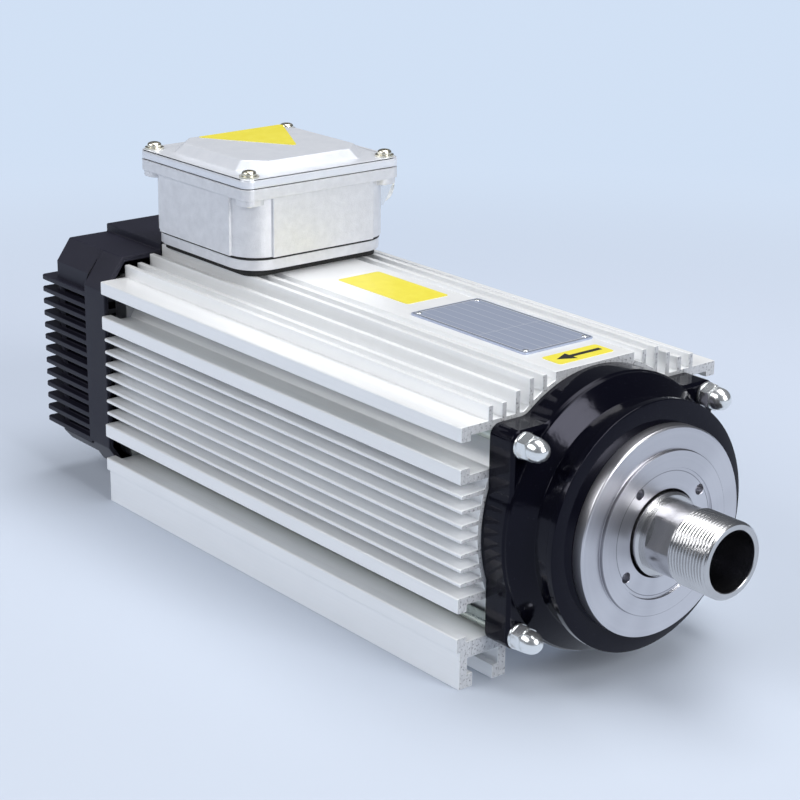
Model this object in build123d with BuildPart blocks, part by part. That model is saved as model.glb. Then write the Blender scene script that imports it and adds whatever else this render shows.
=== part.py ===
from build123d import *
from math import radians, sqrt, tan
import os

# Square air-cooled motor spindle. The motor sits in a finned extrusion that stands on two T-slot
# rails, and its threaded collet nose stands out in front of a flange. All sizes are in
# millimetres. X runs along the spindle axis towards the nose and Z is up. The origin is on the
# surface the rails stand on, under the middle of the whole length.

os.makedirs("parts", exist_ok=True)

# ---- Overall layout ----
housing_length = 262.8
nose_reach = 78.3
cowl_reach = 59.6
axis_height = 64.3

strip_top = 60.9             # top face of the flat strip, above the axis
box_reach = 223.65           # terminal box centre, behind the housing's front

# ---- Rods and holes shared by several pieces ----
washer_thickness = 1.2
bolt_half_width = 51.0       # tie rods, from the middle plane
bolt_half_height = 40.3      # tie rods, above and below the axis
rod_radius = 2.95
rod_hole_radius = 3.3
wire_hole_length = 20.0      # opening for the motor's leads under the box
wire_hole_width = 14.0
wire_hole_y = -11.0

# ---- Clearances ----
fit_clearance = 0.05       # radial gap of a seat within one assembly
running_gap = 0.3          # gap between faces that turn past each other
seat_gap = 0.2             # end gap where two pieces are drawn almost touching
overcut = 1.0              # how far a cut runs past the face it opens

overall_length = cowl_reach + housing_length + nose_reach
front_x = overall_length / 2 - nose_reach
rear_x = front_x - housing_length
nose_x = front_x + nose_reach
cowl_end_x = rear_x - cowl_reach

strip_z = axis_height + strip_top
box_x = front_x - box_reach

spindle_axis = Axis((0, 0, axis_height), (1, 0, 0))
section_plane = Plane(origin=(0, 0, axis_height), x_dir=(1, 0, 0), z_dir=(0, -1, 0))


def cross_plane(x):
    """The plane square to the spindle axis at station x, centred on it, +Y right and +Z up."""
    return Plane(origin=(x, 0, axis_height), x_dir=(0, 1, 0), z_dir=(1, 0, 0))


def level_plane(z, x=0.0):
    """The level plane at height z, centred over station x."""
    return Plane(origin=(x, 0, z), x_dir=(1, 0, 0), z_dir=(0, 0, 1))


def turn(*corners, mode=Mode.ADD):
    """Turn a closed section, given as (station, radius) corners, about the spindle axis."""
    with BuildSketch(section_plane) as section:
        with BuildLine():
            Polyline(*corners, close=True)
        make_face()
    revolve(profiles=section.sketch, axis=spindle_axis, mode=mode)


def ring(start_x, end_x, inner_radius, outer_radius, mode=Mode.ADD):
    """A plain turned ring between two stations."""
    with BuildSketch(cross_plane(start_x)) as section:
        Circle(outer_radius)
        Circle(inner_radius, mode=Mode.SUBTRACT)
    extrude(to_extrude=section.sketch, amount=end_x - start_x, mode=mode)


def disc(start_x, end_x, radius, mode=Mode.ADD):
    """A solid round length on the spindle axis."""
    with BuildSketch(cross_plane(start_x)) as section:
        Circle(radius)
    extrude(to_extrude=section.sketch, amount=end_x - start_x, mode=mode)


def bar(low, high, mode=Mode.ADD):
    """A rectangle of a section given by its low and high corners."""
    with Locations(((low[0] + high[0]) / 2, (low[1] + high[1]) / 2)):
        Rectangle(high[0] - low[0], high[1] - low[1], mode=mode)


def finish(builder, label):
    """Label the finished piece and write it to its STEP file."""
    builder.part.label = label
    export_step(builder.part, "parts/" + label + ".step")


# ---- Housing extrusion: round tube, side lips, cooling fins, flat top strip, two T-slot rails ----
tube_radius = 61.5
tube_bore_radius = 55.0
strip_half_width = 22.0
lip_reach = 71.1             # half width over the side lips
lip_depth = 5.1              # how far a lip's thick head runs inwards
outer_lip_low = 41.3         # upper and lower lips, from the axis
outer_lip_high = 47.8
inner_lip_low = 23.9         # middle pair of lips, from the axis
inner_lip_high = 30.6
web_thickness = 4.1          # upper and lower webs, behind the lips
inner_web_thickness = 3.7
web_root = 38.0              # where the webs start, inside the tube's wall
side_fin_count = 7
side_fin_pitch = 6.2
side_fin_setback = 1.1       # fin tips, inwards from the lips' faces
side_fin_tip = 1.7
side_fin_root = 2.6
top_fin_pitch = 7.07
top_fin_thickness = 2.6
top_fin_tops = (60.9, 60.9, 57.1, 53.8, 53.8)   # fin tops above the axis, from the strip outwards
rail_setback = 1.6           # rails' outer faces, inwards from the lips' faces
slot_head_width = 16.4
slot_head_height = 7.0
slot_neck_width = 10.4
slot_neck_height = 6.2
slot_wall = 4.3
edge_round = 0.7
tip_margin = 0.1             # corners this near the fin tips' faces, or past them, are rounded
fin_root_depth = 4.0         # of a top fin in the tube's wall
side_root_depth = 8.0        # of a side fin, past the bore that trims it
wire_hole_depth = 16.0       # through the strip and the tube's wall

slot_outer = lip_reach - rail_setback - slot_wall
slot_inner = slot_outer - slot_head_width
slot_centre = (slot_inner + slot_outer) / 2
slot_ceiling = -axis_height + slot_neck_height + slot_head_height
web_low = outer_lip_high - web_thickness
fin_root_radius = tube_radius - fin_root_depth
side_root = tube_radius - side_root_depth
side_fin_reach = lip_reach - side_fin_setback

with BuildPart() as housing_extrusion:
    with BuildSketch(cross_plane(rear_x)) as housing_profile:
        Circle(tube_radius)
        bar((-strip_half_width, strip_top), (strip_half_width, tube_radius + overcut), mode=Mode.SUBTRACT)
        bar((0, 0), (strip_half_width, strip_top))
        for number, fin_top in enumerate(top_fin_tops):
            fin_outer = strip_half_width + (number + 1) * top_fin_pitch
            fin_low = max(web_low, sqrt(fin_root_radius**2 - min(fin_outer, fin_root_radius)**2))
            bar((fin_outer - top_fin_thickness, fin_low), (fin_outer, fin_top))
        for side in (1, -1):
            web = sorted((side * web_low, side * outer_lip_high))
            bar((web_root, web[0]), (lip_reach - lip_depth, web[1]))
            lip = sorted((side * outer_lip_low, side * outer_lip_high))
            bar((lip_reach - lip_depth, lip[0]), (lip_reach, lip[1]))
            web = sorted((side * inner_lip_low, side * (inner_lip_low + inner_web_thickness)))
            bar((web_root, web[0]), (lip_reach - lip_depth, web[1]))
            lip = sorted((side * inner_lip_low, side * inner_lip_high))
            bar((lip_reach - lip_depth, lip[0]), (lip_reach, lip[1]))
        for number in range(side_fin_count):
            fin_height = (number - (side_fin_count - 1) / 2) * side_fin_pitch
            with BuildLine():
                Polyline(
                    (side_root, fin_height - side_fin_root / 2),
                    (side_fin_reach, fin_height - side_fin_tip / 2),
                    (side_fin_reach, fin_height + side_fin_tip / 2),
                    (side_root, fin_height + side_fin_root / 2),
                    close=True,
                )
            make_face()
        bar((slot_inner - slot_wall, -axis_height), (slot_outer + slot_wall, -web_low))
        bar((slot_inner, slot_ceiling - slot_head_height), (slot_outer, slot_ceiling), mode=Mode.SUBTRACT)
        neck_half = slot_neck_width / 2
        bar(
            (slot_centre - neck_half, -axis_height - overcut),
            (slot_centre + neck_half, slot_ceiling - slot_head_height),
            mode=Mode.SUBTRACT,
        )
        outer_corners = housing_profile.vertices().filter_by(lambda v: v.X > side_fin_reach - tip_margin)
        fillet(outer_corners, edge_round)
        mirror(about=Plane.YZ)
        Circle(tube_bore_radius, mode=Mode.SUBTRACT)
    extrude(amount=housing_length)
    with BuildSketch(level_plane(strip_z, box_x)):
        with Locations((0, wire_hole_y)):
            Rectangle(wire_hole_length, wire_hole_width)
    extrude(amount=-wire_hole_depth, mode=Mode.SUBTRACT)

finish(housing_extrusion, "housing_extrusion")

# ---- Stator: laminations pressed into the tube, with the winding's end turns beyond them ----
stator_length = 140.0
stator_front_reach = 70.0    # front of the laminations, behind the housing's front
stator_bore_radius = 34.0
end_turn_length = 22.0
end_turn_low = 36.0
end_turn_high = 49.0
end_turn_slope = 4.0

stator_front_x = front_x - stator_front_reach
stator_rear_x = stator_front_x - stator_length

with BuildPart() as stator_core:
    ring(stator_rear_x, stator_front_x, stator_bore_radius, tube_bore_radius - fit_clearance)

finish(stator_core, "stator_core")

with BuildPart() as stator_windings:
    for inner_end, outward in ((stator_rear_x, -1), (stator_front_x, 1)):
        outer_end = inner_end + outward * end_turn_length
        turn(
            (inner_end, end_turn_low),
            (outer_end, end_turn_low),
            (outer_end, end_turn_high - end_turn_slope),
            (outer_end - outward * end_turn_slope, end_turn_high),
            (inner_end, end_turn_high),
        )

finish(stator_windings, "stator_windings")

# ---- Spindle shaft: collet nose, spanner flats, labyrinth collar and stepped seats behind it ----
nose_radius = 16.0           # M32 x 1.5 nut thread, drawn plain at its crest
thread_length = 19.8
neck_radius = 15.0
flats_width = 27.0           # across the two spanner flats
flats_length = 12.0
flats_angle = 158.0          # direction of one flat's normal, from +Y round to +Z
taper_mouth_radius = 12.7
taper_half_angle = 8.0
taper_depth = 24.0
relief_radius = 8.0
relief_depth = 40.0
collar_radius = 17.6
collar_reach = 44.2          # collar's front face beyond the housing
bearing_front_reach = 28.0   # front face of the front bearing beyond the housing
bearing_width = 16.0
spacer_length = 4.0
rotor_seat_radius = 14.5
rear_bearing_bore = 12.5
rear_bearing_width = 15.0
rear_bearing_inset = 10.0    # front face of the rear bearing, inside the housing
fan_seat_radius = 9.0
fan_seat_front = 18.0        # where the fan seat starts, behind the housing
shaft_tail = 41.0            # end of the shaft, behind the housing
lock_nut_width = 10.0
lock_thread_runout = 4.0     # of the nut's thread, behind the nut
flats_shoulder = 0.3         # neck left between the flats and the thread
flats_cut_depth = 10.0
drill_point_slope = 31.0     # of the relief's drilled end
chamfer_size = 1.0

bearing_front_x = front_x + bearing_front_reach
bearing_back_x = bearing_front_x - 2 * bearing_width - spacer_length
rear_bearing_front_x = rear_x + rear_bearing_inset
rear_bearing_rear_x = rear_bearing_front_x - rear_bearing_width
lock_thread_end_x = bearing_back_x - lock_nut_width - lock_thread_runout
taper_end_radius = taper_mouth_radius - taper_depth * tan(radians(taper_half_angle))
thread_start_x = nose_x - thread_length
flats_front_x = thread_start_x - flats_shoulder

with BuildPart() as spindle_shaft:
    collar_front_x = front_x + collar_reach
    turn(
        (rear_x - shaft_tail, 0),
        (rear_x - shaft_tail, fan_seat_radius - chamfer_size),
        (rear_x - shaft_tail + chamfer_size, fan_seat_radius),
        (rear_x - fan_seat_front, fan_seat_radius),
        (rear_x - fan_seat_front, rear_bearing_bore),
        (rear_bearing_front_x, rear_bearing_bore),
        (rear_bearing_front_x, rotor_seat_radius),
        (lock_thread_end_x, rotor_seat_radius),
        (lock_thread_end_x, neck_radius),
        (bearing_front_x, neck_radius),
        (bearing_front_x, collar_radius),
        (collar_front_x - chamfer_size, collar_radius),
        (collar_front_x, collar_radius - chamfer_size),
        (collar_front_x, neck_radius),
        (thread_start_x, neck_radius),
        (thread_start_x + chamfer_size, nose_radius),
        (nose_x - chamfer_size, nose_radius),
        (nose_x, nose_radius - chamfer_size),
        (nose_x, taper_mouth_radius),
        (nose_x - taper_depth, taper_end_radius),
        (nose_x - taper_depth, relief_radius),
        (nose_x - relief_depth, relief_radius),
        (nose_x - relief_depth - relief_radius * tan(radians(drill_point_slope)), 0),
    )
    with BuildSketch(cross_plane(flats_front_x - flats_length)):
        for turned in (flats_angle, flats_angle + 180):
            with Locations(Rotation(0, 0, turned) * Location(((flats_width + flats_cut_depth) / 2, 0))):
                Rectangle(flats_cut_depth, 4 * neck_radius)
    extrude(amount=flats_length, mode=Mode.SUBTRACT)

finish(spindle_shaft, "spindle_shaft")

# ---- Rotor: laminations and cast end rings shrunk onto the shaft ----
air_gap = 0.6
end_ring_length = 9.0
end_ring_inner = 20.0
end_ring_setback = 1.0       # of the end rings, inside the rotor's face

rotor_radius = stator_bore_radius - air_gap
with BuildPart() as rotor_core:
    ring(stator_rear_x, stator_front_x, rotor_seat_radius + fit_clearance, rotor_radius)

finish(rotor_core, "rotor_core")

with BuildPart() as rotor_end_rings:
    end_ring_radius = rotor_radius - end_ring_setback
    ring(stator_rear_x - end_ring_length, stator_rear_x, end_ring_inner, end_ring_radius)
    ring(stator_front_x, stator_front_x + end_ring_length, end_ring_inner, end_ring_radius)

finish(rotor_end_rings, "rotor_end_rings")

# ---- Bearings: a matched pair behind the nose and a single one at the rear, all sealed ----
bearing_outer_radius = 31.0
bearing_outer_land = 27.0    # inside radius of the outer ring
bearing_inner_land = 19.4    # outside radius of the inner ring
rear_bearing_outer_radius = 26.0
rear_outer_land = 22.4
rear_inner_land = 15.8
seal_thickness = 1.2
seal_inset = 0.6             # how far a seal sits inside the end of its bearing
spacer_setback = 1.0         # of a spacer's edge, from the land beside it


def bearing_inner_ring(start_x, width, bore, land):
    """The turning ring of a sealed bearing."""
    ring(start_x, start_x + width, bore + fit_clearance, land)


def bearing_outer_ring(start_x, width, outer, land, inner_land):
    """The still ring of a sealed bearing, with the two seals that reach in to the turning ring."""
    end_x = start_x + width
    ring(start_x, end_x, land, outer - fit_clearance)
    seal_lip = inner_land + running_gap
    ring(start_x + seal_inset, start_x + seal_inset + seal_thickness, seal_lip, land)
    ring(end_x - seal_inset - seal_thickness, end_x - seal_inset, seal_lip, land)


front_starts = (bearing_back_x, bearing_back_x + bearing_width + spacer_length)

with BuildPart() as front_bearing_inner_rings:
    for start_x in front_starts:
        bearing_inner_ring(start_x, bearing_width, neck_radius, bearing_inner_land)

finish(front_bearing_inner_rings, "front_bearing_inner_rings")

with BuildPart() as front_bearing_outer_rings:
    for start_x in front_starts:
        bearing_outer_ring(
            start_x, bearing_width, bearing_outer_radius, bearing_outer_land, bearing_inner_land
        )

finish(front_bearing_outer_rings, "front_bearing_outer_rings")

with BuildPart() as rear_bearing_inner_ring:
    bearing_inner_ring(rear_bearing_rear_x, rear_bearing_width, rear_bearing_bore, rear_inner_land)

finish(rear_bearing_inner_ring, "rear_bearing_inner_ring")

with BuildPart() as rear_bearing_outer_ring:
    bearing_outer_ring(
        rear_bearing_rear_x,
        rear_bearing_width,
        rear_bearing_outer_radius,
        rear_outer_land,
        rear_inner_land,
    )

finish(rear_bearing_outer_ring, "rear_bearing_outer_ring")

spacer_start_x = bearing_back_x + bearing_width
with BuildPart() as inner_spacer:
    outer_edge = bearing_inner_land - spacer_setback
    ring(spacer_start_x, spacer_start_x + spacer_length, neck_radius + fit_clearance, outer_edge)

finish(inner_spacer, "inner_spacer")

with BuildPart() as outer_spacer:
    inner_edge = bearing_outer_land + spacer_setback
    ring(spacer_start_x, spacer_start_x + spacer_length, inner_edge, bearing_outer_radius - fit_clearance)

finish(outer_spacer, "outer_spacer")

# ---- Lock nut behind the front pair, with four spanner slots ----
lock_nut_radius = 22.5
lock_nut_slot_width = 5.0
lock_nut_slot_depth = 2.5

with BuildPart() as bearing_lock_nut:
    lock_nut_start_x = bearing_back_x - lock_nut_width
    ring(lock_nut_start_x, bearing_back_x, neck_radius + fit_clearance, lock_nut_radius)
    with BuildSketch(cross_plane(lock_nut_start_x)):
        with PolarLocations(lock_nut_radius, 4):
            Rectangle(2 * lock_nut_slot_depth, lock_nut_slot_width)
    extrude(amount=lock_nut_width, mode=Mode.SUBTRACT)

finish(bearing_lock_nut, "bearing_lock_nut")

# ---- Front flange: a cast plate with four ears, a coned body and a round rim ----
ear_half_width = 56.4
ear_half_height = 46.2
ear_round = 5.0
ear_fillet = 7.0
flange_radius = 59.7
plate_thickness = 13.6
plate_edge_chamfer = 1.2
spigot_depth = 6.0
hub_radius = 39.0
cone_start_radius = 59.0
cone_start_reach = 14.2
cone_end_reach = 21.0
body_radius = 50.4
rim_radius = 53.1
rim_start_reach = 30.4
rim_end_reach = 33.6
flange_reach = 35.4
rim_land = 1.0               # of the flange's face, outside the cap's edge
cap_radius = 44.0
cap_skirt_radius = 40.0
shoulder_thickness = 4.0
spigot_thickness = 5.0

spigot_radius = tube_bore_radius - fit_clearance

with BuildPart() as front_flange:
    with BuildSketch(cross_plane(front_x)) as flange_outline:
        Circle(flange_radius)
        RectangleRounded(2 * ear_half_width, 2 * ear_half_height, ear_round)
        inner_corners = flange_outline.vertices().filter_by(
            lambda v: abs(abs(v.Y) - ear_half_height) < 0.01
            and abs(sqrt(v.X**2 + v.Y**2) - flange_radius) < 0.01
        )
        fillet(inner_corners, ear_fillet)
    extrude(amount=plate_thickness)
    front_edges = front_flange.faces().sort_by(Axis.X)[-1].outer_wire().edges()
    chamfer(front_edges, plate_edge_chamfer)
    with BuildSketch(cross_plane(front_x)):
        with GridLocations(2 * bolt_half_width, 2 * bolt_half_height, 2, 2):
            Circle(rod_hole_radius)
    extrude(amount=plate_thickness, mode=Mode.SUBTRACT)
    turn(
        (front_x, hub_radius),
        (front_x, cone_start_radius),
        (front_x + cone_start_reach, cone_start_radius),
        (front_x + cone_end_reach, body_radius),
        (front_x + rim_start_reach, body_radius),
        (front_x + rim_start_reach, rim_radius),
        (front_x + rim_end_reach, rim_radius),
        (front_x + flange_reach, cap_radius + rim_land),
        (front_x + flange_reach, hub_radius),
    )
    ring(front_x - spigot_depth, front_x, spigot_radius - spigot_thickness, spigot_radius)
    disc(bearing_back_x - shoulder_thickness, front_x, hub_radius)
    bore_end_x = front_x + flange_reach
    shoulder_radius = bearing_outer_radius - shoulder_thickness
    disc(bearing_back_x - shoulder_thickness, bearing_back_x, shoulder_radius, mode=Mode.SUBTRACT)
    disc(bearing_back_x, bore_end_x, bearing_outer_radius, mode=Mode.SUBTRACT)
    disc(bearing_front_x, bore_end_x, cap_skirt_radius + fit_clearance, mode=Mode.SUBTRACT)

finish(front_flange, "front_flange")

# ---- Bearing cap: turned steel disc with four holes for a pin spanner ----
cap_edge_reach = 41.0
cap_face_reach = 42.4
cap_recess_reach = 41.6
cap_chamfer = 0.6
cap_step_radius = 34.6
cap_recess_radius = 27.4
cap_bore_radius = 18.5
cap_inner_gap = 2.0          # between the cap and the inner ring it passes over
pin_hole_radius = 2.2
pin_circle_radius = 24.2
pin_hole_angle = 35.5
pin_hole_depth = 6.0

with BuildPart() as bearing_cap:
    recess_x = front_x + cap_recess_reach
    turn(
        (bearing_front_x, bearing_outer_land),
        (bearing_front_x, cap_skirt_radius),
        (front_x + flange_reach, cap_skirt_radius),
        (front_x + flange_reach, cap_radius),
        (front_x + cap_edge_reach - cap_chamfer, cap_radius),
        (front_x + cap_edge_reach, cap_radius - cap_chamfer),
        (front_x + cap_edge_reach, cap_step_radius),
        (front_x + cap_face_reach, cap_step_radius),
        (front_x + cap_face_reach, cap_recess_radius),
        (recess_x, cap_recess_radius),
        (recess_x, cap_bore_radius),
        (bearing_front_x + cap_inner_gap, cap_bore_radius),
        (bearing_front_x + cap_inner_gap, bearing_outer_land),
    )
    with BuildSketch(cross_plane(recess_x)):
        with PolarLocations(pin_circle_radius, 4, start_angle=pin_hole_angle):
            Circle(pin_hole_radius)
    extrude(amount=-pin_hole_depth, mode=Mode.SUBTRACT)

finish(bearing_cap, "bearing_cap")

# ---- Rear bracket: cast end plate that carries the rear bearing ----
bracket_thickness = 10.0
bracket_half_width = 57.0
bracket_top = 54.5
bracket_bottom = 45.8
bracket_disc_thickness = 4.0
rear_hub_radius = 34.0
rear_hub_reach = 15.0        # behind the housing
rear_hub_depth = 12.8        # inside the housing
wave_spring_length = 2.0
rear_shaft_hole_radius = 14.0

bracket_rear_x = rear_x - bracket_thickness
rear_shoulder_x = rear_bearing_rear_x - wave_spring_length

with BuildPart() as rear_bracket:
    with BuildSketch(cross_plane(bracket_rear_x)):
        Circle(flange_radius)
        RectangleRounded(2 * bracket_half_width, 2 * ear_half_height, ear_round)
        bar((-tube_radius, bracket_top), (tube_radius, tube_radius), mode=Mode.SUBTRACT)
        bar((-tube_radius, -tube_radius), (tube_radius, -bracket_bottom), mode=Mode.SUBTRACT)
        with GridLocations(2 * bolt_half_width, 2 * bolt_half_height, 2, 2):
            Circle(rod_hole_radius, mode=Mode.SUBTRACT)
    extrude(amount=bracket_thickness)
    disc(rear_x, rear_x + bracket_disc_thickness, spigot_radius)
    disc(rear_x - rear_hub_reach, rear_x + rear_hub_depth, rear_hub_radius)
    disc(rear_x - rear_hub_reach, rear_shoulder_x, rear_shaft_hole_radius, mode=Mode.SUBTRACT)
    disc(rear_shoulder_x, rear_x + rear_hub_depth, rear_bearing_outer_radius, mode=Mode.SUBTRACT)

finish(rear_bracket, "rear_bracket")

# ---- Wave spring that loads the rear bearing, drawn as a plain ring ----
with BuildPart() as wave_spring:
    spring_radius = rear_bearing_outer_radius - running_gap
    ring(rear_shoulder_x, rear_bearing_rear_x, rear_outer_land, spring_radius)

finish(wave_spring, "wave_spring")

# ---- Tie rods with cap nuts on washers in front and plain nuts behind ----
nut_flats = 10.0
nut_hex_height = 5.5
cap_nut_height = 12.0
cap_nut_dome_radius = 4.75
cap_nut_dome_slope = 2.4
cap_nut_tip_height = 0.8
cap_nut_tip_width = 1.2
rod_engagement = 6.0         # of a rod in its cap nut
rear_nut_height = 5.0
rod_tail = 2.0               # rod standing past the rear nut
washer_radius = 5.5

ear_front_x = front_x + plate_thickness
nut_seat_x = ear_front_x + washer_thickness
rod_start_x = bracket_rear_x - rear_nut_height - rod_tail
rod_end_x = nut_seat_x + rod_engagement

with BuildPart() as tie_rods:
    with BuildSketch(cross_plane(rod_start_x)):
        with GridLocations(2 * bolt_half_width, 2 * bolt_half_height, 2, 2):
            Circle(rod_radius)
    extrude(amount=rod_end_x - rod_start_x)

finish(tie_rods, "tie_rods")

with BuildPart() as cap_nuts:
    with BuildSketch(cross_plane(ear_front_x)):
        with GridLocations(2 * bolt_half_width, 2 * bolt_half_height, 2, 2):
            Circle(washer_radius)
    extrude(amount=washer_thickness)
    with BuildSketch(cross_plane(nut_seat_x)):
        with GridLocations(2 * bolt_half_width, 2 * bolt_half_height, 2, 2):
            RegularPolygon(nut_flats / 2, 6, major_radius=False, rotation=30)
    extrude(amount=nut_hex_height)
    with BuildSketch(cross_plane(nut_seat_x + nut_hex_height)):
        with GridLocations(2 * bolt_half_width, 2 * bolt_half_height, 2, 2):
            Circle(cap_nut_dome_radius)
    extrude(amount=cap_nut_height - nut_hex_height)
    dome_edges = cap_nuts.faces().filter_by(Axis.X).group_by(Axis.X)[-1].edges()
    chamfer(dome_edges, cap_nut_dome_slope)
    dome_edges = cap_nuts.faces().filter_by(Axis.X).group_by(Axis.X)[-1].edges()
    chamfer(dome_edges, cap_nut_tip_height, cap_nut_tip_width)
    with BuildSketch(cross_plane(ear_front_x)):
        with GridLocations(2 * bolt_half_width, 2 * bolt_half_height, 2, 2):
            Circle(rod_radius + fit_clearance)
    extrude(amount=washer_thickness + rod_engagement + seat_gap, mode=Mode.SUBTRACT)

finish(cap_nuts, "cap_nuts")

with BuildPart() as rear_nuts:
    with BuildSketch(cross_plane(bracket_rear_x)):
        with GridLocations(2 * bolt_half_width, 2 * bolt_half_height, 2, 2):
            RegularPolygon(nut_flats / 2, 6, major_radius=False, rotation=30)
            Circle(rod_radius + fit_clearance, mode=Mode.SUBTRACT)
    extrude(amount=-rear_nut_height)

finish(rear_nuts, "rear_nuts")

# ---- Cooling fan: hub, back plate and straight blades, so it works in both directions ----
fan_length = 18.5
fan_radius = 40.5
fan_hub_radius = 15.0
fan_plate_radius = 34.0
fan_plate_thickness = 2.0
fan_blade_count = 7
fan_blade_thickness = 2.2
fan_blade_slope = 7.0        # how much shorter a blade is at its tip
fan_blade_root = 2.0         # of a blade in the hub

fan_front_x = rear_x - fan_seat_front - seat_gap
fan_rear_x = fan_front_x - fan_length

with BuildPart() as cooling_fan:
    disc(fan_rear_x, fan_front_x, fan_hub_radius)
    disc(fan_front_x - fan_plate_thickness, fan_front_x, fan_plate_radius)
    for number in range(fan_blade_count):
        with BuildSketch(section_plane) as blade:
            with BuildLine():
                Polyline(
                    (fan_rear_x, fan_hub_radius - fan_blade_root),
                    (fan_front_x, fan_hub_radius - fan_blade_root),
                    (fan_front_x, fan_radius),
                    (fan_rear_x + fan_blade_slope, fan_radius),
                    (fan_rear_x, fan_radius - fan_blade_slope),
                    close=True,
                )
            make_face()
        turned = blade.sketch.rotate(spindle_axis, number * 360 / fan_blade_count)
        extrude(to_extrude=turned, amount=fan_blade_thickness / 2, both=True)
    disc(fan_rear_x, fan_front_x, fan_seat_radius + fit_clearance, mode=Mode.SUBTRACT)

finish(cooling_fan, "cooling_fan")

# ---- Circlip that keeps the fan on the shaft ----
circlip_thickness = 1.2
circlip_width = 2.5
circlip_opening = 7.0

with BuildPart() as fan_circlip:
    circlip_x = fan_rear_x - circlip_thickness
    ring(circlip_x, fan_rear_x, fan_seat_radius + fit_clearance, fan_seat_radius + circlip_width)
    with BuildSketch(cross_plane(circlip_x)):
        with Locations((0, fan_seat_radius)):
            Rectangle(circlip_opening, 4 * circlip_width)
    extrude(amount=circlip_thickness, mode=Mode.SUBTRACT)

finish(fan_circlip, "fan_circlip")

# ---- Fan cowl: eight-sided hood with louvre slats round its sides and back ----
cowl_wall = 2.5
cowl_band_length = 18.4      # full-width band at the front
cowl_wall_reach = 49.2       # back wall's outer face, behind the housing
cowl_top = 57.7
cowl_top_half_width = 58.3
cowl_band_half_width = 69.4
cowl_band_high = 42.2
cowl_band_low = -37.3
cowl_band_bottom = -49.3
cowl_bottom_half_width = 61.5
cowl_core_half_width = 66.1
cowl_core_high = 46.8
cowl_core_low = -41.3
cowl_core_bottom = -46.8
hump_half_width = 37.0
hump_top = 61.6
slat_count = 13
slat_pitch = 6.2
slat_thickness = 2.3
slat_corner = 1.4
slot_lip = 0.2               # of wall left between a slat and the slot beside it
grille_radius = 46.0
side_slot_front = 20.2       # side slots run between these two stations, behind the housing
side_slot_rear = 43.2

cowl_wall_x = rear_x - cowl_wall_reach
cowl_inner_x = cowl_wall_x + cowl_wall
cowl_band_x = rear_x - cowl_band_length
band_corners = (
    (cowl_top_half_width, cowl_top),
    (cowl_band_half_width, cowl_band_high),
    (cowl_band_half_width, cowl_band_low),
    (cowl_bottom_half_width, cowl_band_bottom),
)
core_corners = (
    (cowl_top_half_width, cowl_top),
    (cowl_core_half_width, cowl_core_high),
    (cowl_core_half_width, cowl_core_low),
    (cowl_bottom_half_width, cowl_core_bottom),
)


def hood_section(corners, inset):
    """An eight-sided hood outline from its right-hand corners, moved inwards by the inset."""
    left = [(-y, z) for y, z in reversed(corners)]
    Polygon(*corners, *left, align=None)
    if inset > 0:
        offset(amount=-inset, kind=Kind.INTERSECTION, mode=Mode.REPLACE)


with BuildPart() as fan_cowl:
    with BuildSketch(cross_plane(cowl_band_x)):
        hood_section(band_corners, 0)
    extrude(amount=cowl_band_length)
    with BuildSketch(cross_plane(cowl_wall_x)):
        hood_section(core_corners, 0)
        bar((-hump_half_width, 0), (hump_half_width, hump_top))
    extrude(amount=cowl_wall_reach)
    first_slat = -slat_pitch * (slat_count - 1) / 2
    slat_length = cowl_band_x + cowl_wall - cowl_end_x
    for number in range(slat_count):
        slat_z = axis_height + first_slat + number * slat_pitch
        with BuildSketch(level_plane(slat_z, cowl_end_x + slat_length / 2)) as slat:
            Rectangle(slat_length, 2 * cowl_band_half_width)
            chamfer(slat.vertices().group_by(Axis.X)[0], slat_corner)
        extrude(amount=slat_thickness / 2, both=True)
    with BuildSketch(cross_plane(cowl_band_x + cowl_wall)):
        hood_section(band_corners, cowl_wall)
    extrude(amount=cowl_band_length - cowl_wall, mode=Mode.SUBTRACT)
    with BuildSketch(cross_plane(cowl_inner_x)):
        hood_section(core_corners, cowl_wall)
        bar((cowl_wall - hump_half_width, 0), (hump_half_width - cowl_wall, hump_top - cowl_wall))
    extrude(amount=rear_x - cowl_inner_x, mode=Mode.SUBTRACT)
    slot_height = slat_pitch - slat_thickness - 2 * slot_lip
    with BuildSketch(cross_plane(cowl_wall_x)):
        for number in range(slat_count - 1):
            slot_middle_z = first_slat + (number + 0.5) * slat_pitch
            farthest = abs(slot_middle_z) + slot_height / 2
            half_width = sqrt(grille_radius**2 - farthest**2)
            bar((-half_width, slot_middle_z - slot_height / 2), (half_width, slot_middle_z + slot_height / 2))
    extrude(amount=cowl_wall, mode=Mode.SUBTRACT)
    with BuildSketch(Plane.XZ.offset(-cowl_band_half_width)):
        for number in range(slat_count - 1):
            slot_low_z = axis_height + first_slat + number * slat_pitch + slat_thickness / 2 + slot_lip
            bar((rear_x - side_slot_rear, slot_low_z), (rear_x - side_slot_front, slot_low_z + slot_height))
    extrude(amount=2 * cowl_band_half_width, mode=Mode.SUBTRACT)

finish(fan_cowl, "fan_cowl")

# ---- Terminal box: base gasket, base plate, box gasket and the box with its corner ears ----
base_gasket_half = 38.0
base_gasket_thickness = 3.1
base_plate_half = 42.4
base_plate_thickness = 5.0
base_plate_round = 8.0
box_gasket_half = 42.6
box_gasket_thickness = 1.3
box_half = 42.2
box_round = 15.0
box_height = 29.9
panel_half_width = 29.0
panel_half = 43.5            # half width of the box over two raised panels
box_wall = 3.0
box_floor = 3.0
box_flange_half = 44.6
box_flange_round = 5.0
box_flange_thickness = 3.2
box_ear_half = 44.0
box_ear_size = 12.0
box_ear_height = 4.0
lid_screw_half = 38.9
gland_radius = 10.0
gland_clearance = 0.3
gland_height = 16.4          # gland centre, above the bottom of the box

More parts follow.
